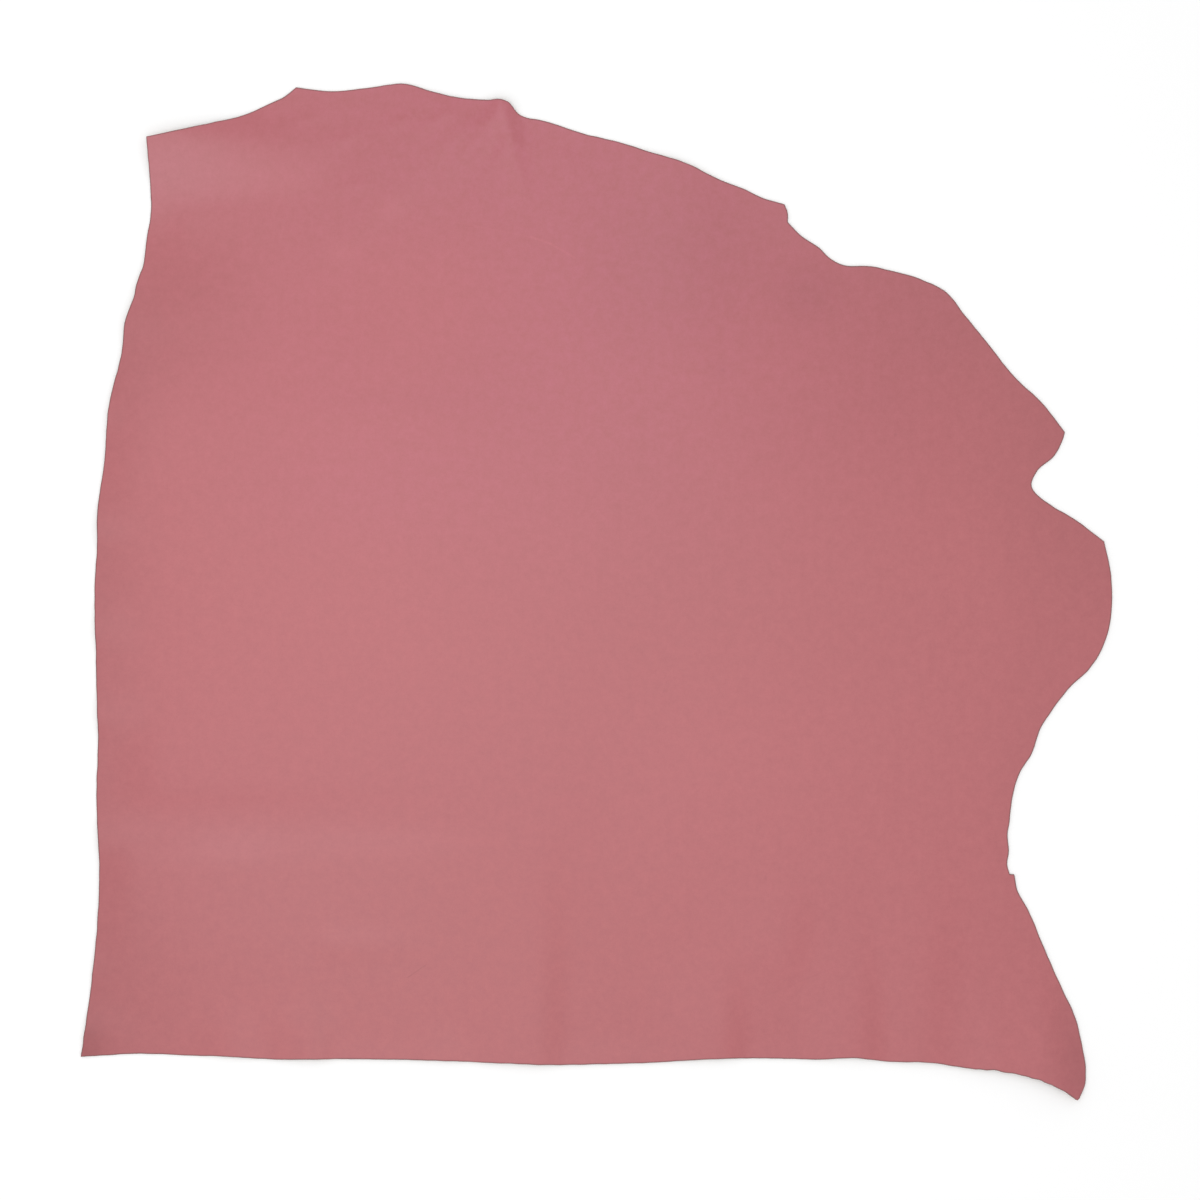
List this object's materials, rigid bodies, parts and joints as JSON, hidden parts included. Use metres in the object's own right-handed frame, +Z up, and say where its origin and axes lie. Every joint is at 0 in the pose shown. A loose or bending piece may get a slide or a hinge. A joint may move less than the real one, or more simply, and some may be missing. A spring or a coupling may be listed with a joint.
{
  "type": "leather hide",
  "caption": "Flat sheet of smooth dyed cowhide: two straight cut edges, a natural wavy neck, shoulder and belly edge, and soft ripples along its borders.",
  "frame": {"origin": "under the middle of the hide's bounding box, on the surface that it lies on", "axes": "+X from the straight backbone cut towards the belly, +Y from the straight cross cut towards the neck, +Z up out of the grain side"},
  "size_m": [1.134, 1.117, 0.0098],
  "materials": {
    "leather": "dusty pink dyed full-grain leather with a fine pebble and a satin sheen; pale fibrous flesh side"
  },
  "bodies": {
    "root": {"hide": "leather"}
  },
  "joints": []
}
